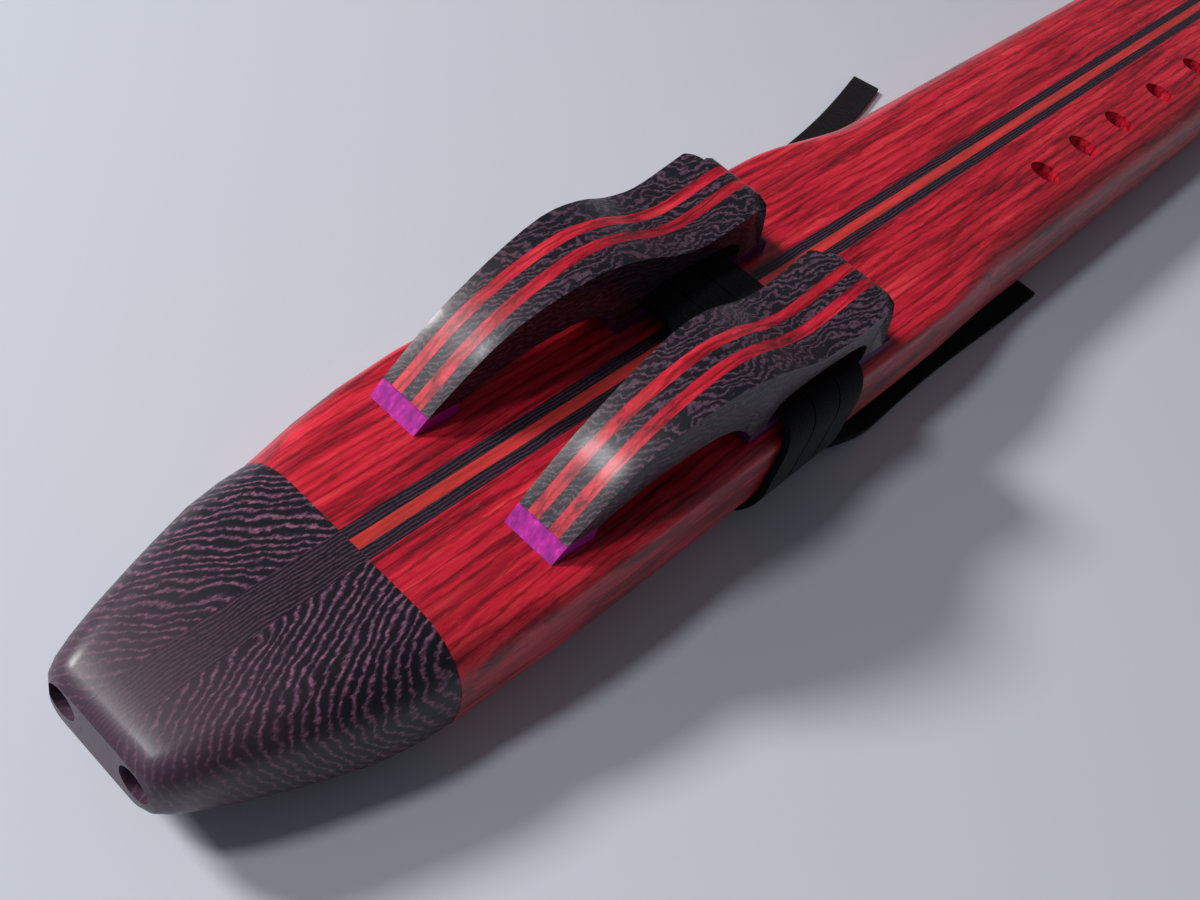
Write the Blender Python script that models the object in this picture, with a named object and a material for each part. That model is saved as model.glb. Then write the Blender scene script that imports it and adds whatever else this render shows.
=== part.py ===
"""Double flute (drone flute) of red and dark wood, with two sliding blocks under a suede lace.

The flute lies along +X: the mouth end is at -X and the open foot at +X. The drone tube is on +Y,
the melody tube with the finger holes on -Y, and the table is z = 0.
"""
import math

import bmesh
import bpy
from mathutils import Vector

MM = 0.001
GAP = 0.3 * MM                      # between pieces that touch

# Whole instrument
FLUTE_LENGTH = 510 * MM
MOUTH_LENGTH = 54 * MM              # dark mouthpiece, from the mouth end to the glue joint
BODY_THICKNESS = 32 * MM
TUBE_HALF_WIDTH = 32 * MM           # half width of the plain tube
NEST_HALF_WIDTH = 34.2 * MM         # half width of the flat deck that carries the blocks
DECK_EDGE_RADIUS = 3 * MM
TUBE_TOP_RADIUS = 11.2 * MM
TUBE_BOTTOM_RADIUS = 12 * MM
NEST_BOTTOM_RADIUS = 16 * MM
JOINT_RADIUS = 14.5 * MM            # side rounding at the glue joint of the mouthpiece
VENEER = 2.8 * MM                   # every thin lamination, in the body and in the blocks

# Bores and holes
BORE_DIAMETER = 20 * MM
BORE_Y = 18.3 * MM
CHAMBER_WALL_FROM_TAIL = 14 * MM    # from the slow air chamber's end to the block's tail
CHAMBER_WALL = 12 * MM              # solid wood between the two chambers
BLOW_HOLE_DIAMETER = 7.5 * MM
BLOW_HOLE_Y = 9.8 * MM
BLOW_HOLE_BELOW_DECK = 10.8 * MM
EXIT_HOLE_SIZE = (6 * MM, 9 * MM)
SOUND_HOLE_SIZE = (6.5 * MM, 11 * MM)
FLUE_WIDTH = 11 * MM
FLUE_DEPTH = 1 * MM
FINGER_HOLE_SIZE = (7.8 * MM, 9.8 * MM)
FINGER_ROW_START = 244 * MM         # first finger hole, from the glue joint
FINGER_PITCHES = [24.4 * MM, 24.6 * MM, 30.6 * MM, 29.8 * MM, 29.8 * MM]

# Blocks, measured from the glue joint and up from the deck
BLOCK_START = 26.5 * MM
BLOCK_LENGTH = 111.5 * MM
BLOCK_Y = 19.4 * MM
BLOCK_STRETCH = BLOCK_LENGTH / (111.5 * MM)     # 1 at the length the outlines are drawn for
SOLE_THICKNESS = 3.5 * MM
NOSE_PAD_LENGTH = 11.5 * MM * BLOCK_STRETCH
NOSE_SLOPE = 3 * MM
FLUE_PLATE_LENGTH = 54 * MM * BLOCK_STRETCH
TUNNEL_LENGTH = 36 * MM * BLOCK_STRETCH
TUNNEL_HEIGHT = 7.6 * MM            # free height over the flue plate
TUNNEL_FROM_TAIL = 13 * MM * BLOCK_STRETCH
BLOCK_TRAVEL = 2.5 * MM             # tuning travel, both ways
NEST_PAST_BLOCKS = 27 * MM          # flat deck beyond the blocks' tails

# Suede lace
LACE_TURNS = 3
LACE_TURN_GAP = 0.5 * MM
LACE_PLAY = BLOCK_TRAVEL + 0.9 * MM     # free length of the tunnel before and after the lace
LACE_PITCH = (TUNNEL_LENGTH - 2 * LACE_PLAY + LACE_TURN_GAP) / LACE_TURNS
LACE_WIDTH = LACE_PITCH - LACE_TURN_GAP
LACE_THICKNESS = 1.7 * MM
RIGHT_END_WIDTH = LACE_WIDTH * 0.81     # the right end is cut narrower
LACE_LIFT = 0.2 * MM                # lace above the table, so that the flute stands on wood
RELIEF_DEPTH = 2.6 * MM             # shallow groove under the body for the lace
RELIEF_MARGIN = 1 * MM
LACE_LEAVES_AT = 50                 # degrees round the lower side where the free ends start

# Derived places
MOUTH_X = -FLUTE_LENGTH / 2
JOINT_X = MOUTH_X + MOUTH_LENGTH
AIR_CHAMBER_LENGTH = BLOCK_START + BLOCK_LENGTH - CHAMBER_WALL_FROM_TAIL
FOOT_X = FLUTE_LENGTH / 2
BOTTOM_Z = 0
DECK_Z = BOTTOM_Z + BODY_THICKNESS
BORE_Z = BOTTOM_Z + BODY_THICKNESS / 2
STRIP_EDGE = 1.5 * VENEER
BLOCK_X = JOINT_X + BLOCK_START
TAIL_X = BLOCK_X + BLOCK_LENGTH
TUNNEL_END = TAIL_X - TUNNEL_FROM_TAIL
TUNNEL_START = TUNNEL_END - TUNNEL_LENGTH
PLATE_START = TAIL_X - FLUE_PLATE_LENGTH
SOLE_TOP = DECK_Z + SOLE_THICKNESS
WRAP_X = (TUNNEL_START + TUNNEL_END) / 2
WRAP_LENGTH = LACE_PITCH * (LACE_TURNS - 1) + LACE_WIDTH

WOODS = {
    "redheart": ((0.62, 0.02, 0.03, 1), 0.42),
    "wenge": ((0.022, 0.016, 0.03, 1), 0.38),
    "purpleheart": ((0.38, 0.012, 0.33, 1), 0.45),
    "suede": ((0.006, 0.006, 0.009, 1), 0.92),
}


def make_material(name, wood):
    colour, roughness = WOODS[wood]
    material = bpy.data.materials.new(name + "_" + wood)
    material.use_nodes = True
    shader = material.node_tree.nodes["Principled BSDF"]
    shader.inputs["Base Color"].default_value = colour
    shader.inputs["Roughness"].default_value = roughness
    shader.inputs["Metallic"].default_value = 0.0
    return material


def add_object(name, bm, wood=None, parent=None):
    """Turn a bmesh into an object whose origin is its parent's origin, or the world's."""
    bmesh.ops.recalc_face_normals(bm, faces=bm.faces)
    mesh = bpy.data.meshes.new(name)
    bm.to_mesh(mesh)
    bm.free()
    ob = bpy.data.objects.new(name, mesh)
    bpy.context.collection.objects.link(ob)
    if parent:
        ob.parent = parent
    if wood:
        mesh.materials.append(make_material(name, wood))
        mesh.shade_smooth()
        mesh.set_sharp_from_angle(angle=math.radians(30))
    else:
        ob.hide_render = True
        ob.display_type = "WIRE"
    return ob


def boolean(ob, cutter, operation="DIFFERENCE"):
    modifier = ob.modifiers.new(cutter.name, "BOOLEAN")
    modifier.operation = operation
    modifier.solver = "EXACT"
    modifier.object = cutter


def loft(rings):
    """Skin a list of closed rings, each with the same number of points, and cap both ends."""
    bm = bmesh.new()
    rows = [[bm.verts.new(point) for point in ring] for ring in rings]
    count = len(rows[0])
    for row, following in zip(rows, rows[1:]):
        for i in range(count):
            j = (i + 1) % count
            bm.faces.new((row[i], row[j], following[j], following[i]))
    bm.faces.new(rows[0])
    bm.faces.new(rows[-1])
    return bm


def prism(outline, axis, low, high):
    """Extrude a closed outline along Y (points are x, z) or along Z (points are x, y)."""
    def place(point, level):
        return (point[0], level, point[1]) if axis == "Y" else (point[0], point[1], level)
    return loft([[place(p, low) for p in outline], [place(p, high) for p in outline]])


def box(low, high):
    corners = [(low[0], low[1]), (high[0], low[1]), (high[0], high[1]), (low[0], high[1])]
    return prism(corners, "Z", low[2], high[2])


def rod(start, end, size_across, size_up, sides=24):
    """A round or oval rod between two points; the sizes are full diameters."""
    start, end = Vector(start), Vector(end)
    along = (end - start).normalized()
    across = Vector((0, 0, 1)).cross(along)
    across = across.normalized() if across.length > 0.01 else Vector((0, 1, 0))
    up = along.cross(across)
    rings = []
    for centre in (start, end):
        ring = []
        for i in range(sides):
            turn = math.tau * i / sides
            ring.append(centre + across * math.cos(turn) * size_across / 2 + up * math.sin(turn) * size_up / 2)
        rings.append(ring)
    return loft(rings)


def smooth_line(points, steps=4):
    """Catmull-Rom curve through the points, so a hand-drawn outline needs few of them."""
    pts = [Vector(p) for p in points]
    pts = [2 * pts[0] - pts[1]] + pts + [2 * pts[-1] - pts[-2]]
    line = []
    for a, b, c, d in zip(pts, pts[1:], pts[2:], pts[3:]):
        for i in range(steps):
            t = i / steps
            line.append(0.5 * (2 * b + (c - a) * t + (2 * a - 5 * b + 4 * c - d) * t ** 2
                               + (3 * b - a - 3 * c + d) * t ** 3))
    return line + [pts[-2]]


def half_section(x, half_width, top_radius, bottom_radius, top, bottom, side, inner):
    """One tube's outline at x: flat top and bottom from the inner glue face, rounded outside."""
    arc_steps = 6
    ring = [(x, side * inner, bottom)]
    for centre_z, radius, first in ((bottom + bottom_radius, bottom_radius, -90), (top - top_radius, top_radius, 0)):
        for i in range(arc_steps + 1):
            turn = math.radians(first + 90 * i / arc_steps)
            y = half_width - radius + radius * math.cos(turn)
            ring.append((x, side * y, centre_z + radius * math.sin(turn)))
    ring.append((x, side * inner, top))
    return ring


def relief(name):
    """The shallow groove across the underside that the lace lies in."""
    half = WRAP_LENGTH / 2 + RELIEF_MARGIN
    reach = NEST_HALF_WIDTH + 5 * MM
    low = (WRAP_X - half, -reach, BOTTOM_Z - 3 * MM)
    return add_object(name + "_relief", box(low, (WRAP_X + half, reach, BOTTOM_Z + RELIEF_DEPTH)))


def empty(name, location):
    ob = bpy.data.objects.new(name, None)
    ob.location = location
    bpy.context.collection.objects.link(ob)
    return ob


# Body outline, as distance from the glue joint, half width, top rounding, bottom rounding.
NEST_OUTLINE = [
    (0, TUBE_HALF_WIDTH + 0.3 * MM, JOINT_RADIUS, JOINT_RADIUS),
    (12 * MM, NEST_HALF_WIDTH - 1.2 * MM, JOINT_RADIUS * 0.62, NEST_BOTTOM_RADIUS - 0.5 * MM),
    (24 * MM, NEST_HALF_WIDTH - 0.6 * MM, DECK_EDGE_RADIUS * 1.8, NEST_BOTTOM_RADIUS - 0.2 * MM),
    (40 * MM, NEST_HALF_WIDTH - 0.1 * MM, DECK_EDGE_RADIUS * 1.1, NEST_BOTTOM_RADIUS - 0.1 * MM),
    (60 * MM, NEST_HALF_WIDTH, DECK_EDGE_RADIUS, NEST_BOTTOM_RADIUS - 0.1 * MM),
    (BLOCK_START + BLOCK_LENGTH + NEST_PAST_BLOCKS, NEST_HALF_WIDTH, DECK_EDGE_RADIUS, NEST_BOTTOM_RADIUS - 0.1 * MM),
]
# The waist after the nest: how far along, then how much of the plain tube is reached.
WAIST_LENGTH = 48 * MM
WAIST_STEPS = 8


def body_outline():
    outline = list(NEST_OUTLINE)
    start, wide, top, bottom = outline[-1]
    for i in range(1, WAIST_STEPS + 1):
        t = i / WAIST_STEPS
        blend = t * t * (3 - 2 * t)
        outline.append((start + WAIST_LENGTH * t,
                        wide + (TUBE_HALF_WIDTH - wide) * blend,
                        top + (TUBE_TOP_RADIUS - top) * blend,
                        bottom + (TUBE_BOTTOM_RADIUS - bottom) * blend))
    outline.append((FOOT_X - JOINT_X - 1.5 * MM, TUBE_HALF_WIDTH, TUBE_TOP_RADIUS, TUBE_BOTTOM_RADIUS))
    return outline


def make_tube(name, side):
    """One redheart tube: bored from both ends, with a solid wall left between the chambers."""
    inner = STRIP_EDGE + GAP
    rings = [half_section(JOINT_X + along, wide, top, bottom, DECK_Z, BOTTOM_Z, side, inner)
             for along, wide, top, bottom in body_outline()]
    softening = 1 * MM
    rings[0] = [(JOINT_X + GAP, y, z) for x, y, z in rings[0]]
    rings.append(half_section(FOOT_X, TUBE_HALF_WIDTH - softening, TUBE_TOP_RADIUS, TUBE_BOTTOM_RADIUS,
                              DECK_Z - softening, BOTTOM_Z + softening, side, inner))
    tube = add_object(name, loft(rings), "redheart")
    y = side * BORE_Y
    wall_start = JOINT_X + AIR_CHAMBER_LENGTH
    wall_end = wall_start + CHAMBER_WALL
    margin = 5 * MM
    cuts = {
        "air_chamber": rod((JOINT_X - margin, y, BORE_Z), (wall_start, y, BORE_Z), BORE_DIAMETER, BORE_DIAMETER),
        "sound_chamber": rod((wall_end, y, BORE_Z), (FOOT_X + margin, y, BORE_Z), BORE_DIAMETER, BORE_DIAMETER),
        "exit_hole": window(wall_start - EXIT_HOLE_SIZE[0] / 2 - 1 * MM, side * BLOCK_Y, EXIT_HOLE_SIZE),
        "sound_hole": window(TAIL_X + GAP + SOUND_HOLE_SIZE[0] / 2, side * BLOCK_Y, SOUND_HOLE_SIZE),
    }
    if side < 0:
        x = JOINT_X + FINGER_ROW_START
        for number, pitch in enumerate([0] + FINGER_PITCHES):
            x += pitch
            cuts["finger_hole_%d" % number] = rod((x, y, BORE_Z), (x, y, DECK_Z + margin),
                                                  FINGER_HOLE_SIZE[1], FINGER_HOLE_SIZE[0], 20)
    for cut_name, bm in cuts.items():
        boolean(tube, add_object(name + "_" + cut_name, bm))
    boolean(tube, relief(name))


def window(x, y, size):
    """A rectangular hole from the deck down into the bore."""
    return box((x - size[0] / 2, y - size[1] / 2, BORE_Z), (x + size[0] / 2, y + size[1] / 2, DECK_Z + 5 * MM))


def make_centre_strips():
    """Three veneers glued on edge between the tubes, dark, red and dark."""
    for name, middle, wood in (("strip_dark_left", VENEER, "wenge"), ("strip_red", 0, "redheart"),
                               ("strip_dark_right", -VENEER, "wenge")):
        half = VENEER / 2 - GAP / 2
        strip = box((JOINT_X + GAP, middle - half, BOTTOM_Z), (FOOT_X - 0.5 * MM, middle + half, DECK_Z))
        boolean(add_object(name, strip, wood), relief(name))


# Mouthpiece outline: distance from the glue joint, half width, drop of the top, rise of the bottom, rounding.
MOUTH_OUTLINE = [
    (0, 32.2, 0, 0, 14.5),
    (7, 31.6, 0, 0.3, 14),
    (15.4, 29.9, 0.1, 1.2, 13),
    (24, 27.2, 0.5, 3.0, 12),
    (32, 24.3, 1.0, 5.2, 10.5),
    (40.6, 21.0, 1.8, 8.0, 8.5),
    (46.5, 18.5, 2.7, 10.3, 7),
    (50.7, 16.5, 3.7, 12.2, 6),
    (53, 14.9, 4.9, 13.7, 5),
    (54, 13.2, 6.3, 15.2, 4),
]
MOUTH_STATION_RANGE = 54            # the outline's own length, stretched to MOUTH_LENGTH


def mouth_rings(side, inner):
    rings = []
    stretch = MOUTH_LENGTH / (MOUTH_STATION_RANGE * MM)
    widen = TUBE_HALF_WIDTH / (32 * MM)
    thicken = BODY_THICKNESS / (32 * MM) * MM
    for along, wide, drop, rise, radius in MOUTH_OUTLINE:
        top = DECK_Z - drop * thicken
        bottom = BOTTOM_Z + rise * thicken
        rings.append(half_section(JOINT_X - along * MM * stretch, wide * MM * widen, radius * thicken, radius * thicken,
                                  top, bottom, side, inner))
    return rings


def make_mouthpiece():
    """Wenge mouth block: a straight-grained middle band with one half on each side."""
    band = [[(x, y, z) for x, y, z in (ring[0], ring[-1])] for ring in mouth_rings(1, STRIP_EDGE - GAP)]
    rings = []
    for low, high in band:
        rings.append([low, high, (high[0], -high[1], high[2]), (low[0], -low[1], low[2])])
    add_object("mouthpiece_centre", loft(rings), "wenge")
    for name, side in (("mouthpiece_left", 1), ("mouthpiece_right", -1)):
        half = add_object(name, loft(mouth_rings(side, STRIP_EDGE)), "wenge")
        mouth_end = Vector((MOUTH_X, side * BLOW_HOLE_Y, DECK_Z - BLOW_HOLE_BELOW_DECK))
        bore_end = Vector((JOINT_X, side * (BORE_Y - 1.5 * MM), BORE_Z + 1 * MM))
        run = bore_end - mouth_end
        channel = rod(mouth_end - run * 0.2, bore_end + run * 0.2, BLOW_HOLE_DIAMETER, BLOW_HOLE_DIAMETER, 20)
        boolean(half, add_object(name + "_channel", channel))


# Block profile, x along the block and z above the sole's underside, then the plan half width.
BLOCK_TOP = [(3.2, 3.8), (16.3, 14.8), (29.5, 21.2), (45.5, 24.4), (59.5, 22.0), (70.5, 17.9),
             (81.5, 15.8), (92.5, 17.1), (102, 18.4), (107.5, 15.6), (110.8, 3.8)]
FRONT_ARCH = [(56.5, 3.8), (53, 7.2), (48, 10.2), (41, 11.2), (31, 9.8), (21, 7.0), (12, 3.8)]
BLOCK_PLAN = [(-1, 6.4), (11, 7.0), (23, 7.5), (33, 8.4), (43, 9.4), (53, 10.3), (63, 10.8), (80, 11.2),
              (100, 11.8), (113, 12.0)]


def tunnel_arch():
    """The rear tunnel's roof, from the tail side to the middle foot."""
    middle = (TUNNEL_START + TUNNEL_END) / 2
    floor = SOLE_TOP + GAP
    arch = []
    steps = 10
    for i in range(steps + 1):
        turn = math.pi * i / steps
        squared = abs(math.cos(turn)) ** 0.6 * (1 if turn < math.pi / 2 else -1)
        arch.append((middle + TUNNEL_LENGTH / 2 * squared, floor + TUNNEL_HEIGHT * math.sin(turn) ** 0.6))
    return arch


def make_block(prefix, side):
    """One tuning block: five laminations over a purpleheart nose pad and a grooved flue plate."""
    pivot = empty(prefix + "_slide", (BLOCK_X, side * BLOCK_Y, DECK_Z))
    def local(points):
        return [(x - BLOCK_X, z - DECK_Z) for x, z in points]

    long = BLOCK_STRETCH * MM
    rise = SOLE_THICKNESS - 3.5 * MM
    top = [(p.x * long, p.y * MM + rise) for p in smooth_line(BLOCK_TOP, 3)]
    front = [(p.x * long, p.y * MM + rise) for p in smooth_line(FRONT_ARCH, 2)]
    outline = top + local(tunnel_arch()) + front
    plan_half = [(p.x * long, p.y * MM) for p in smooth_line(BLOCK_PLAN, 2)]
    plan = plan_half + [(x, -y) for x, y in reversed(plan_half)]
    plan_cutter = add_object(prefix + "_plan", prism(plan, "Z", -5 * MM, 40 * MM), parent=pivot)

    layers = [("outer_left", 1.5, 6, "wenge"), ("red_left", 0.5, 1.5, "redheart"), ("middle", -0.5, 0.5, "wenge"),
              ("red_right", -1.5, -0.5, "redheart"), ("outer_right", -6, -1.5, "wenge")]
    for layer, low, high, wood in layers:
        solid = prism(outline, "Y", low * VENEER + GAP / 2, high * VENEER - GAP / 2)
        ob = add_object(prefix + "_" + layer, solid, wood, pivot)
        if layer.startswith("outer"):
            boolean(ob, plan_cutter, "INTERSECT")

    reach = 14 * MM
    pad = [(0, GAP), (NOSE_PAD_LENGTH, GAP), (NOSE_PAD_LENGTH, SOLE_THICKNESS), (NOSE_SLOPE, SOLE_THICKNESS)]
    ob = add_object(prefix + "_nose_pad", prism(pad, "Y", -reach, reach), "purpleheart", pivot)
    boolean(ob, plan_cutter, "INTERSECT")

    start = PLATE_START - BLOCK_X
    end = BLOCK_LENGTH
    plate = [(start, GAP), (end, GAP), (end - 0.6 * MM, SOLE_THICKNESS), (start, SOLE_THICKNESS)]
    ob = add_object(prefix + "_flue_plate", prism(plate, "Y", -reach, reach), "purpleheart", pivot)
    boolean(ob, plan_cutter, "INTERSECT")
    flue_start = JOINT_X + AIR_CHAMBER_LENGTH - EXIT_HOLE_SIZE[0] - 3 * MM - BLOCK_X
    flue = box((flue_start, -FLUE_WIDTH / 2, -GAP), (end + 2 * MM, FLUE_WIDTH / 2, GAP + FLUE_DEPTH))
    boolean(ob, add_object(prefix + "_flue_groove", flue, parent=pivot))


def lace_ribbon(centres, outward, across, width):
    """A flat lace: centre line, its outward directions and its width directions."""
    rings = []
    for centre, out, wide in zip(centres, outward, across):
        a = out * LACE_THICKNESS / 2
        b = wide * width / 2
        rings.append([centre + a + b, centre - a + b, centre - a - b, centre + a - b])
    return loft(rings)


LACE_OFFSET = GAP + LACE_THICKNESS / 2    # from the wood's surface to the lace's middle


def lower_side(turn):
    """Lace middle on the lower side, at an angle from straight down, with its outward direction."""
    radius = NEST_BOTTOM_RADIUS + LACE_OFFSET
    centre_y = NEST_HALF_WIDTH - NEST_BOTTOM_RADIUS
    out_y, out_z = math.sin(turn), -math.cos(turn)
    return (centre_y + radius * out_y, NEST_BOTTOM_RADIUS + radius * out_z, out_y, out_z)


def turn_section():
    """Half a turn in Y and Z: from under the body, up the left side, to the tunnel's mouth."""
    low_z = LACE_LIFT + LACE_THICKNESS / 2
    first_turn = math.radians(34)
    points = [(lower_side(first_turn)[0] - 2 * MM, low_z, 0, -1)]
    steps = 6
    for i in range(steps + 1):
        points.append(lower_side(first_turn + (math.pi / 2 - first_turn) * i / steps))
    side_y = NEST_HALF_WIDTH + LACE_OFFSET
    top_z = SOLE_TOP + LACE_OFFSET
    run_end = BLOCK_Y + 11.3 * MM
    shoulder = DECK_Z - 4 * MM
    for i in range(steps + 1):
        turn = math.pi / 2 * i / steps
        points.append((run_end + (side_y - run_end) * math.cos(turn), shoulder + (top_z - shoulder) * math.sin(turn),
                       math.cos(turn), math.sin(turn)))
    return points


def make_lace_wrap():
    """The lace wound round the body and through both tunnels, as one unbroken band."""
    quarter = turn_section()
    centres, outward = [], []
    stub = 2 * MM
    first_x = WRAP_X - LACE_PITCH * (LACE_TURNS - 1) / 2

    def add(x, y, z, out_y, out_z):
        centres.append(Vector((x, y, z)))
        outward.append(Vector((0, out_y, out_z)).normalized())

    for turn in range(LACE_TURNS):
        x = first_x + turn * LACE_PITCH
        start_y = stub if turn == 0 else 0
        add(x, start_y, quarter[0][1], 0, -1)
        for y, z, out_y, out_z in quarter:
            add(x, y, z, out_y, out_z)
        for y, z, out_y, out_z in reversed(quarter):
            add(x, -y, z, -out_y, out_z)
        if turn == LACE_TURNS - 1:
            add(x, -quarter[0][0] + 2 * stub, quarter[0][1], 0, -1)
    across = [Vector((1, 0, 0))] * len(centres)
    add_object("lace_wrap", lace_ribbon(centres, outward, across, LACE_WIDTH), "suede")


# Free ends of the lace: distance from the wrap's edge, how far out from the starting point, and how
# far the drop to the table has got, from 0 to 1. Chosen by hand.
LACE_LEFT = [(0, 0, 0), (3, 0.3, 0.04), (12, 3.6, 0.45), (24, 7.4, 0.93), (40, 9.2, 1), (58, 9.8, 1),
             (79, 11.2, 1), (100, 13.8, 1), (120, 16.8, 1), (138, 20.6, 1), (156, 25.2, 1)]
LACE_RIGHT = [(0, 0, 0), (3, 0.1, 0.04), (12, 0.6, 0.45), (24, 0.9, 0.93), (40, 0.2, 1), (58, -0.1, 1),
              (72, 0.1, 1), (88, 0.6, 1), (102, 1.0, 1), (116, 1.0, 1)]


def make_lace_end(name, route, side, width):
    """A free end: it leaves the wrap on the lower side, twists down flat and lies on the table."""
    start_y, start_z, out_y, out_z = lower_side(math.radians(LACE_LEAVES_AT))
    table_z = LACE_THICKNESS / 2 + LACE_LIFT
    first_x = WRAP_X + WRAP_LENGTH / 2 + GAP
    line = smooth_line([(first_x + along * MM, start_y + out * MM, drop) for along, out, drop in route], 3)
    centres, outward, across = [], [], []
    for i, point in enumerate(line):
        drop = min(max(point.z, 0), 1)
        centres.append(Vector((point.x, side * point.y, start_z + (table_z - start_z) * drop)))
        turn = math.radians(LACE_LEAVES_AT) * (1 - drop)
        ahead = line[min(i + 1, len(line) - 1)] - line[max(i - 1, 0)]
        level = Vector((-ahead.y * side, ahead.x)).normalized() if i else Vector((0, 1))
        wide = Vector((level.x, level.y * math.cos(turn), side * math.sin(turn))).normalized()
        out = Vector((1, 0, 0)).cross(wide).normalized()
        along = wide.cross(out)
        outward.append(along.cross(wide).normalized())
        across.append(wide)
    add_object(name, lace_ribbon(centres, outward, across, width), "suede")


for ob in list(bpy.data.objects):
    bpy.data.objects.remove(ob, do_unlink=True)

make_mouthpiece()
make_tube("drone_tube", 1)
make_tube("melody_tube", -1)
make_centre_strips()
make_block("left_block", 1)
make_block("right_block", -1)
make_lace_wrap()
make_lace_end("lace_end_left", LACE_LEFT, 1, LACE_WIDTH)
make_lace_end("lace_end_right", LACE_RIGHT, -1, RIGHT_END_WIDTH)
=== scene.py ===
"""Looks of the double flute: the photo's angle, soft daylight, and one section for each piece."""
import math

import bmesh
import bpy
from mathutils import Matrix, Vector


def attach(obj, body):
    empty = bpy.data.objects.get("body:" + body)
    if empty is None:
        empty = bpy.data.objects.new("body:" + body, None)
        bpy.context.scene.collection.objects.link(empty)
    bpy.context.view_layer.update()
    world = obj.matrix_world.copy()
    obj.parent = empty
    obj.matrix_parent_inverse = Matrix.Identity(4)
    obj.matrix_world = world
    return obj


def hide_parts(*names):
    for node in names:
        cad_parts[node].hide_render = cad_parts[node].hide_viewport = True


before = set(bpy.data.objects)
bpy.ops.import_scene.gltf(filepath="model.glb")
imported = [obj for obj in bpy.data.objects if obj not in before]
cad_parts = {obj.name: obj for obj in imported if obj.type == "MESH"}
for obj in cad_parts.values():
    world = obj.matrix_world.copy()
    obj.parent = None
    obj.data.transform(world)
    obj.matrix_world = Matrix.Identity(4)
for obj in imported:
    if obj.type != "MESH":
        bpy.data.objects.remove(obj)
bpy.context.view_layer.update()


# Camera: fitted to the photo's straight edges. It looks down over the mouth end, from the melody side.
camera = bpy.data.cameras.new("photo_camera")
camera.lens = 41.7
camera.sensor_width = 36
camera.clip_start = 0.01
photo_camera = bpy.data.objects.new("photo_camera", camera)
right = Vector((0.6541, -0.7135, 0.2511))
down = Vector((-0.4446, -0.6312, -0.6355))
forward = Vector((0.6120, 0.3041, -0.7301))
turn = Matrix((right, -down, -forward)).transposed().to_4x4()
photo_camera.matrix_world = Matrix.Translation((-0.3194, -0.0984, 0.2399)) @ turn
bpy.context.collection.objects.link(photo_camera)
bpy.context.scene.camera = photo_camera
bpy.context.scene.view_settings.view_transform = "Standard"


# Drone and melody tubes: redheart, each glued up from two halves routed to a round bore, then rounded
# over and oiled. The right one has the finger holes, the left one is a plain drone. Both are glued to
# the centre strips between them and to the mouthpiece.
MM = 0.001
ALONG, ACROSS, UP = 0, 1, 2
UNDER, OVER, BLENDED = 6, 7, 2     # the colour sockets of a mix node
MOUTH_JOINT = (200.7, 200.98)      # glue face in the CAD and closed, mm before the flute's middle


def linear(hex_colour):
    """An sRGB hex colour as linear RGBA."""
    parts = [int(hex_colour[i:i + 2], 16) / 255 for i in (1, 3, 5)]
    return tuple(p / 12.92 if p <= 0.04045 else ((p + 0.055) / 1.055) ** 2.4 for p in parts) + (1.0,)


def node(tree, kind, settings=None, inputs=None, stops=()):
    """Add a shader node: an input given as a socket is linked, and stops fill a colour ramp."""
    made = tree.nodes.new(kind)
    for key, value in (settings or {}).items():
        setattr(made, key, value)
    for key, value in (inputs or {}).items():
        if isinstance(value, bpy.types.NodeSocket):
            tree.links.new(value, made.inputs[key])
        else:
            made.inputs[key].default_value = value
    for index, (position, colour) in enumerate(stops[:1] + stops[-1:]):
        made.color_ramp.elements[index].position = position
        made.color_ramp.elements[index].color = linear(colour)
    for position, colour in stops[1:-1]:
        made.color_ramp.elements.new(position).color = linear(colour)
    return made


def measured(tree, cell, offset):
    """The place on the piece, counted in cells of so many mm along, across and up the flute."""
    place = node(tree, "ShaderNodeTexCoord").outputs["Object"]
    return node(tree, "ShaderNodeMapping", {"vector_type": "POINT"}, {
        "Vector": place, "Scale": [1 / (size * MM) for size in cell], "Location": offset}).outputs["Vector"]


def grain(tree, cell, offset=(0, 0, 0), detail=4.0, roughness=0.5, distortion=0.0):
    """Noise stretched to the given grain cell in mm."""
    return node(tree, "ShaderNodeTexNoise", inputs={
        "Vector": measured(tree, cell, offset), "Scale": 1.0, "Detail": detail, "Roughness": roughness,
        "Distortion": distortion}).outputs["Fac"]


def start_material(name, roughness, coat):
    """A surface with weak, soft reflections; coat is how much of an oil and wax finish it has."""
    material = bpy.data.materials.new(name)
    material.use_nodes = True
    shader = material.node_tree.nodes["Principled BSDF"]
    shader.inputs["Roughness"].default_value = roughness
    shader.inputs["Coat Weight"].default_value = coat
    shader.inputs["Coat Roughness"].default_value = 0.24
    shader.inputs["Specular IOR Level"].default_value = 0.35
    return material, material.node_tree, shader


def finish_surface(tree, shader, colour, strength, depth, height):
    """Give a material its colour and its fine relief, depth in mm."""
    bump = node(tree, "ShaderNodeBump", inputs={
        "Strength": strength, "Distance": depth * MM, "Height": height})
    tree.links.new(colour, shader.inputs["Base Color"])
    tree.links.new(bump.outputs["Normal"], shader.inputs["Normal"])


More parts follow.
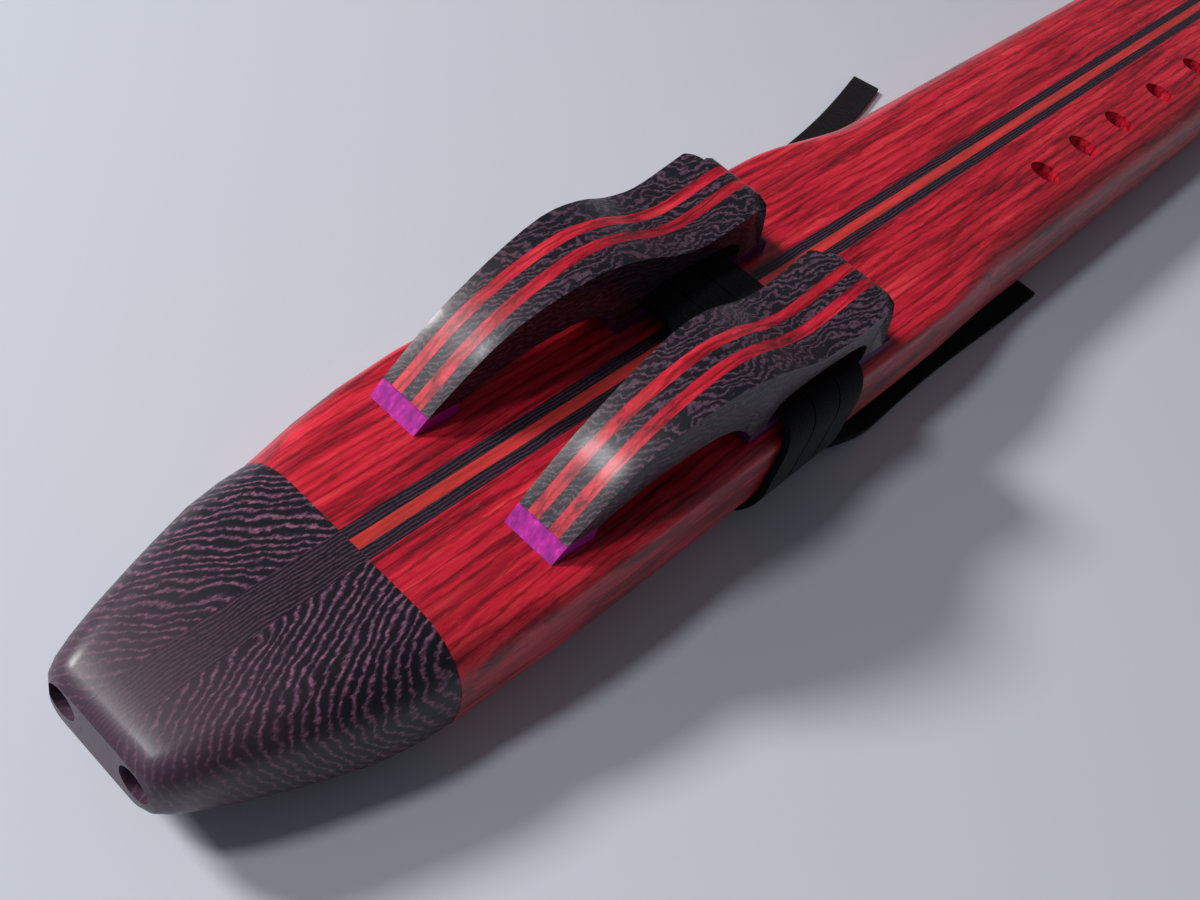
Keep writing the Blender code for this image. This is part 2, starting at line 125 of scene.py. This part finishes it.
def redheart(name, offset, warm=False):
    """Oiled redheart: crimson with long darker streaks, fine light pore dashes, soft satin.

    The pores are drawn coarser than real ones, so that they show.
    """
    material, tree, shader = start_material(name, 0.45, 0.35)
    streaks = grain(tree, (45.5, 2.38, 3.03), offset, detail=6.0, roughness=0.68, distortion=0.25)
    colour = node(tree, "ShaderNodeValToRGB", inputs={"Fac": streaks}, stops=[
        (0.34, "#6c0519"), (0.41, "#a30a26"), (0.48, "#c51531"), (0.58, "#da283c"), (0.7, "#ea444c")])
    figure = grain(tree, (58.8, 8.33, 11.1), offset, distortion=1.6)
    shade = node(tree, "ShaderNodeValToRGB", inputs={"Fac": figure}, stops=[
        (0.38, "#8a3a4a"), (0.45, "#d8a8ac"), (0.52, "#ffffff"), (0.56, "#c98a90"), (0.6, "#ffffff")])
    colour = node(tree, "ShaderNodeMix", {"data_type": "RGBA", "blend_type": "MULTIPLY"}, {
        "Factor": 0.5, UNDER: colour.outputs["Color"], OVER: shade.outputs["Color"]}).outputs[BLENDED]
    rings = node(tree, "ShaderNodeTexWave", {"wave_type": "BANDS", "bands_direction": "Y"}, {
        "Vector": measured(tree, (55.6, 8.47, 14.3), offset), "Scale": 1.0, "Distortion": 7.0,
        "Detail": 4.0, "Detail Scale": 1.6, "Detail Roughness": 0.62}).outputs["Fac"]
    lines = node(tree, "ShaderNodeValToRGB", inputs={"Fac": rings}, stops=[
        (0.02, "#7a1626"), (0.14, "#d89098"), (0.26, "#ffffff")])
    colour = node(tree, "ShaderNodeMix", {"data_type": "RGBA", "blend_type": "MULTIPLY"}, {
        "Factor": 0.62, UNDER: colour, OVER: lines.outputs["Color"]}).outputs[BLENDED]
    if warm:
        colour = node(tree, "ShaderNodeMix", {"data_type": "RGBA"}, {
            "Factor": 0.3, UNDER: colour, OVER: linear("#ee5640")}).outputs[BLENDED]
    pores = grain(tree, (4.17, 0.385, 0.385), offset, detail=2.0)
    dashes = node(tree, "ShaderNodeValToRGB", inputs={"Fac": pores}, stops=[
        (0.6, "#000000"), (0.8, "#8a8a8a")])
    colour = node(tree, "ShaderNodeMix", {"data_type": "RGBA"}, {
        "Factor": dashes.outputs["Color"], UNDER: colour, OVER: linear("#ee5a62")}).outputs[BLENDED]
    finish_surface(tree, shader, colour, 0.1, 0.3, pores)
    return material


def finished(name, source):
    """A merged, smooth-shaded copy of a CAD node."""
    bm = bmesh.new()
    bm.from_mesh(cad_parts[source].data)
    bmesh.ops.transform(bm, matrix=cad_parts[source].matrix_world, verts=bm.verts)
    bmesh.ops.remove_doubles(bm, verts=bm.verts, dist=0.02 * MM)
    bmesh.ops.dissolve_limit(bm, angle_limit=math.radians(0.1), verts=bm.verts, edges=bm.edges)
    mesh = bpy.data.meshes.new(name)
    bm.to_mesh(mesh)
    bm.free()
    stored = mesh.attributes.get("custom_normal")
    if stored:
        mesh.attributes.remove(stored)
    mesh.materials.clear()
    mesh.shade_smooth()
    mesh.set_sharp_from_angle(angle=math.radians(32))
    ob = bpy.data.objects.new(name, mesh)
    bpy.context.collection.objects.link(ob)
    return ob


def close_gaps(ob, axis, faces, middle=0.0):
    """Move flat glue faces out to their neighbours, because the CAD leaves 0.3 mm between pieces.

    Each pair is a face's distance from the middle in the CAD and closed, in mm.
    """
    for vertex in ob.data.vertices:
        offset = vertex.co[axis] / MM - middle
        for old, new in faces:
            if abs(abs(offset) - old) < 0.03:
                vertex.co[axis] = (middle + math.copysign(new, offset)) * MM


for name, source, offset in (("drone_half", "drone_tube", (0.3, 0.1, 0)),
                             ("melody_half", "melody_tube", (1.7, 0.6, 0.2))):
    tube = finished(name, source)
    close_gaps(tube, ACROSS, [(4.5, 4.23)])
    close_gaps(tube, ALONG, [MOUTH_JOINT])
    tube.data.materials.append(redheart(name + "_redheart", offset))
    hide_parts(source)
    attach(tube, "flute")


# Centre strips: three veneers on edge, wenge, redheart and wenge. They are glued between the tubes and
# planed flush with them.
def wenge(name, across, pitch, wobble, offset=(0, 0, 0), light="#8d5b73"):
    """Oiled wenge: near-black bands with mauve lines between them, dull satin.

    The lines follow one another in the direction across, pitch is in mm and wobble in pitches.
    """
    material, tree, shader = start_material(name, 0.46, 0.2)
    place = node(tree, "ShaderNodeTexCoord").outputs["Object"]
    run = node(tree, "ShaderNodeVectorMath", {"operation": "DOT_PRODUCT"}, {
        0: place, 1: [part / (pitch * MM) for part in across]}).outputs["Value"]
    drift = grain(tree, (14.29, 7.69, 7.69), offset, roughness=0.6)
    swing = node(tree, "ShaderNodeMath", {"operation": "MULTIPLY_ADD"}, {0: drift, 1: wobble, 2: run})
    beat = node(tree, "ShaderNodeMath", {"operation": "MULTIPLY"}, {0: swing.outputs[0], 1: math.tau})
    bands = node(tree, "ShaderNodeMath", {"operation": "SINE"}, {0: beat.outputs[0]})
    fibres = grain(tree, (1.25, 0.588, 0.588), roughness=0.7)
    ragged = node(tree, "ShaderNodeMath", {"operation": "MULTIPLY_ADD"}, {
        0: bands.outputs[0], 1: 0.24, 2: fibres})
    colour = node(tree, "ShaderNodeValToRGB", inputs={"Fac": ragged.outputs[0]}, stops=[
        (0.3, "#0e0b14"), (0.52, "#191420"), (0.66, "#4c2f42"), (0.84, light)])
    finish_surface(tree, shader, colour.outputs["Color"], 0.15, 0.3, fibres)
    return material


for name in ("strip_dark_left", "strip_red", "strip_dark_right"):
    strip = finished(name + "_planed", name)
    close_gaps(strip, ACROSS, [(4.05, 4.21), (1.55, 1.41), (1.25, 1.39)])
    close_gaps(strip, ALONG, [MOUTH_JOINT])
    if name == "strip_red":
        strip.data.materials.append(redheart(name + "_redheart", (0.9, 0.2, 0.7), warm=True))
    else:
        strip.data.materials.append(wenge(name + "_wenge", (0.01, 1, 0.1), 0.8, 2.5, light="#2c2029"))
    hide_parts(name)
    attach(strip, "flute")


# Mouthpiece: wenge, two bookmatched halves with a straight-grained band between them. It is tapered
# and rounded over by sanding, and has two blow holes in its flat end, towards which its lines fade.
for name, across, pitch, wobble, offset, light in (
        ("mouthpiece_left", (0.52, 0.82, 0.5), 1.75, 4.0, (0.5, 1.5, 3.0), "#8d5b73"),
        ("mouthpiece_centre", (0.02, 1, 0.1), 0.75, 3.0, (0, 0, 0), "#523546"),
        ("mouthpiece_right", (0.42, -0.9, 0.55), 1.6, 3.6, (2.5, 6.5, 1.0), "#8d5b73")):
    piece = finished(name + "_sanded", name)
    close_gaps(piece, ACROSS, [(4.2, 4.07), (3.9, 4.05)])
    material = wenge(name + "_wenge", across, pitch, wobble, offset, light)
    tree = material.node_tree
    shader = tree.nodes["Principled BSDF"]
    place = node(tree, "ShaderNodeTexCoord").outputs["Object"]
    along = node(tree, "ShaderNodeSeparateXYZ", inputs={"Vector": place}).outputs["X"]
    faded = node(tree, "ShaderNodeMapRange", inputs={
        "Value": along, "From Min": -0.222, "From Max": -0.25, "To Min": 0.0, "To Max": 0.7})
    colour = node(tree, "ShaderNodeMix", {"data_type": "RGBA"}, {
        "Factor": faded.outputs["Result"], UNDER: shader.inputs["Base Color"].links[0].from_socket,
        OVER: linear("#4b3646")}).outputs[BLENDED]
    tree.links.new(colour, shader.inputs["Base Color"])
    piece.data.materials.append(material)
    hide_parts(name)
    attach(piece, "flute")


# Tuning blocks: five laminations of wenge and redheart, glued and band-sawn to a swan-like curve, with
# their edges eased by hand. A purpleheart nose pad and flue plate are glued underneath.
def ease_edges(ob, bm, edges, radius, segments):
    """Round the given edges to a radius in mm and put the mesh back on its object."""
    bmesh.ops.bevel(bm, geom=edges, offset=radius * MM, segments=segments, profile=0.5, affect="EDGES",
                    material=-1, clamp_overlap=True)
    bm.to_mesh(ob.data)
    bm.free()
    ob.data.shade_smooth()
    ob.data.set_sharp_from_angle(angle=math.radians(32))


def round_tail_top(ob):
    """Ease the edges that run across the tail's top, the same on every lamination."""
    tail_start, top_start = -73.5, 46
    bm = bmesh.new()
    bm.from_mesh(ob.data)
    edges = []
    for edge in bm.edges:
        centre = (edge.verts[0].co + edge.verts[1].co) / 2 / MM
        run = (edge.verts[1].co - edge.verts[0].co).normalized()
        on_top = centre.x > tail_start and centre.z > top_start
        if on_top and abs(run.y) > 0.98 and edge.calc_face_angle() > math.radians(12):
            edges.append(edge)
    ease_edges(ob, bm, edges, 2.2, 4)


def soften_outer_lamination(ob, facing, middle):
    """Round an outer lamination: the standing corner at its tail in plan, then its top edge."""
    tail, foot_height, lean = -63.7, 35.8, 0.28
    shoulder, shoulder_height, shoulder_lean, shoulder_top = -67.0, 47.6, 1.96, -72.5
    corner_radius, half_width, eased_above = 4.6, 12.0, 40
    bm = bmesh.new()
    bm.from_mesh(ob.data)
    # Cuts across the tail at every 15 degrees of the rounding give it points to move.
    for step in range(6):
        ahead = corner_radius * (math.sin(math.radians(15 * step)) - 1)
        for place, normal in ((((tail + ahead) * MM, 0, foot_height * MM), (1, 0, lean)),
                              (((shoulder_top + ahead) * MM, 0, 0), (1, 0, 0))):
            bmesh.ops.bisect_plane(bm, geom=bm.verts[:] + bm.edges[:] + bm.faces[:], dist=1e-6,
                                   plane_co=place, plane_no=normal)
    for vertex in bm.verts:
        x, y, z = vertex.co / MM
        behind = x + lean * (z - foot_height) - tail
        if z > shoulder_height:
            behind = x + shoulder_lean * (z - shoulder_height) - shoulder
        if behind > -corner_radius:
            run = min(behind + corner_radius, corner_radius)
            limit = half_width - corner_radius + math.sqrt(corner_radius ** 2 - run ** 2)
            if facing * (y - middle) > limit:
                vertex.co.y = (middle + facing * limit) * MM
    edges = []
    for edge in bm.edges:
        centre = (edge.verts[0].co + edge.verts[1].co) / 2 / MM
        run = (edge.verts[1].co - edge.verts[0].co).normalized()
        outside = facing * (centre.y - middle) > half_width / 2 and centre.x < tail - corner_radius
        if len(edge.link_faces) == 2 and outside and centre.z > eased_above and abs(run.y) < 0.5:
            if edge.calc_face_angle() > math.radians(50):
                edges.append(edge)
    ease_edges(ob, bm, edges, 0.6, 3)


for side, middle in (("left", 19.4), ("right", -19.4)):
    for layer in ("outer_left", "red_left", "middle", "red_right", "outer_right"):
        source = side + "_block_" + layer
        piece = finished(source + "_sawn", source)
        close_gaps(piece, ACROSS, [(1.25, 1.39), (1.55, 1.41), (4.05, 4.19), (4.35, 4.21)], middle)
        close_gaps(piece, UP, [(35.8, 35.52)])
        round_tail_top(piece)
        if layer.startswith("outer"):
            soften_outer_lamination(piece, 1 if layer == "outer_left" else -1, middle)
        if layer.startswith("red"):
            material = redheart(source + "_redheart", (0.4, 0.8, 0.1))
        else:
            material = wenge(source + "_wenge", (0.12, 0.6, 0.85), 1.2, 8.0, (3.1, 0.7, 2.2), "#5a4552")
            material.node_tree.nodes["Principled BSDF"].inputs["Coat Weight"].default_value = 0.35
        piece.data.materials.append(material)
        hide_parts(source)
        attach(piece, side + "_block")
    # Purpleheart as sawn: matt violet with fine grain. The flue plates under the tails get a darker purple,
    # which is painted shade.
    for pad, purple_and_painted_shade in (("nose_pad", [(0.35, "#8a0f80"), (0.6, "#b8189a"), (0.75, "#d23ab4")]),
                        ("flue_plate", [(0.35, "#3a0a3c"), (0.6, "#541056"), (0.75, "#6c1a6c")])):
        source = side + "_block_" + pad
        piece = finished(source + "_sawn", source)
        close_gaps(piece, UP, [(32.3, 32.05)])
        material, tree, shader = start_material(source + "_purpleheart", 0.6, 0.0)
        colour = node(tree, "ShaderNodeValToRGB", inputs={"Fac": grain(tree, (16.7, 1.11, 1.43))},
                      stops=purple_and_painted_shade)
        tree.links.new(colour.outputs["Color"], shader.inputs["Base Color"])
        piece.data.materials.append(material)
        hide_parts(source)
        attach(piece, side + "_block")


# Suede lace: one flat strip of black split leather. It is wound three times round the body and
# through both blocks, and pulled tight so that it holds them down.
def suede(name):
    """Black suede: almost no shine, with a soft nap drawn coarser than real, so that it shows."""
    material, tree, shader = start_material(name, 0.95, 0.0)
    shader.inputs["Specular IOR Level"].default_value = 0.15
    shader.inputs["Sheen Weight"].default_value = 0.12
    shader.inputs["Sheen Roughness"].default_value = 0.4
    nap = grain(tree, (0.714, 0.714, 0.714))
    colour = node(tree, "ShaderNodeValToRGB", inputs={"Fac": nap}, stops=[
        (0.35, "#040407"), (0.7, "#101017")])
    finish_surface(tree, shader, colour.outputs["Color"], 0.5, 0.4, nap)
    return material


wrap = finished("lace_wound", "lace_wrap")
wrap.data.materials.append(suede("wound_suede"))
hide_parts("lace_wrap")
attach(wrap, "flute")


# Free ends of the lace: the same suede strip, left loose. Each starts at the wound part's lower edge,
# twists down and lies flat on the table.
HALF_THICKNESS = 0.85
STEPS = 5                          # points drawn for each point of the route

# Columns of a route: x, y, height of the middle, and how far the strip is still tilted, in degrees.
for name, source, side, width, route in (
        ("lace_left_end", "lace_end_left", 1, 9.4,
         [(-79.1, 31.3, 4.97, 50), (-76.1, 31.6, 4.8, 48), (-67.1, 34.9, 3.1, 27.5),
          (-55.1, 38.7, 1.34, 3.5), (-39.1, 40.5, 1.05, 0), (-21.1, 41.1, 1.05, 0),
          (-0.1, 42.5, 1.05, 0), (20.9, 45.1, 1.05, 0), (40.9, 48.1, 1.05, 0),
          (58.9, 51.9, 1.05, 0), (76.9, 56.5, 1.05, 0)]),
        ("lace_right_end", "lace_end_right", -1, 7.6,
         [(-79.1, 31.3, 4.97, 50), (-76.1, 31.4, 4.8, 48), (-67.1, 31.9, 3.1, 27.5),
          (-55.1, 32.2, 1.34, 3.5), (-39.1, 31.5, 1.05, 0), (-21.1, 31.2, 1.05, 0),
          (-7.1, 31.4, 1.05, 0), (8.9, 31.9, 1.05, 0), (22.9, 32.3, 1.05, 0),
          (36.9, 32.3, 1.05, 0)])):
    points = [Vector((x, side * y, z)) * MM for x, y, z, tilt in route]
    path = []
    for i in range(len(points) - 1):
        before, start = points[max(i - 1, 0)], points[i]
        end, after = points[i + 1], points[min(i + 2, len(points) - 1)]
        for k in range(STEPS + (i == len(points) - 2)):
            t = k / STEPS
            where = 0.5 * (2 * start + (end - before) * t
                           + (2 * before - 5 * start + 4 * end - after) * t ** 2
                           + (3 * start - before - 3 * end + after) * t ** 3)
            path.append((where, math.radians(route[i][3] * (1 - t) + route[i + 1][3] * t)))
    bm = bmesh.new()
    rows = []
    for i, (where, tilt) in enumerate(path):
        ahead = path[min(i + 1, len(path) - 1)][0] - path[max(i - 1, 0)][0]
        level = Vector((-ahead.y, ahead.x, 0)).normalized() if i else Vector((0, 1, 0))
        wide = Vector((level.x, level.y * math.cos(tilt), side * math.sin(tilt))).normalized()
        thick = ahead.normalized().cross(wide).normalized() * HALF_THICKNESS * MM
        wide = wide * width * MM / 2
        rows.append([bm.verts.new(where + across * wide + over * thick)
                     for across, over in ((1, 1), (-1, 1), (-1, -1), (1, -1))])
    for row, following in zip(rows, rows[1:]):
        for j in range(4):
            bm.faces.new((row[j], row[(j + 1) % 4], following[(j + 1) % 4], following[j]))
    bm.faces.new(rows[0])
    bm.faces.new(rows[-1])
    bmesh.ops.recalc_face_normals(bm, faces=bm.faces)
    rims = [edge for edge in bm.edges if edge.calc_face_angle() > math.radians(60)]
    bmesh.ops.bevel(bm, geom=rims, offset=0.35 * MM, segments=2, profile=0.5, affect="EDGES", material=-1)
    mesh = bpy.data.meshes.new(name)
    bm.to_mesh(mesh)
    bm.free()
    mesh.shade_smooth()
    mesh.set_sharp_from_angle(angle=math.radians(50))
    lace = bpy.data.objects.new(name, mesh)
    bpy.context.collection.objects.link(lace)
    mesh.materials.append(suede(name + "_suede"))
    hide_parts(source)
    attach(lace, "flute")


# Studio: a pale matt table top, a small window light from the far left of the mouth end, which casts
# the photo's shadow, a weaker one for the gleam on the block noses, and a dim room.
table_mesh = bmesh.new()
bmesh.ops.create_grid(table_mesh, x_segments=1, y_segments=1, size=6)
mesh = bpy.data.meshes.new("floor")
table_mesh.to_mesh(mesh)
table_mesh.free()
floor = bpy.data.objects.new("floor", mesh)
bpy.context.collection.objects.link(floor)
material, tree, shader = start_material("pale_table", 0.6, 0.0)
shader.inputs["Base Color"].default_value = linear("#c9cdd6")
mesh.materials.append(material)
for name, place, size, power, tint in (("window_softbox", (-0.8, 1.15, 1.08), 0.36, 26, (1.0, 0.985, 0.97)),
                                       ("nose_softbox", (-0.9, 0.48, 1.39), 0.24, 8, (0.95, 0.97, 1.0))):
    data = bpy.data.lights.new(name, "AREA")
    data.shape = "DISK"
    data.size = size
    data.energy = power
    data.color = tint
    light = bpy.data.objects.new(name, data)
    light.location = place
    light.rotation_euler = (Vector((0, 0, 0)) - Vector(place)).to_track_quat("-Z", "Y").to_euler()
    bpy.context.collection.objects.link(light)
world = bpy.data.worlds.new("soft_room")
world.use_nodes = True
world.node_tree.nodes["Background"].inputs["Color"].default_value = linear("#e3e6f2")
world.node_tree.nodes["Background"].inputs["Strength"].default_value = 0.14
bpy.context.scene.world = world
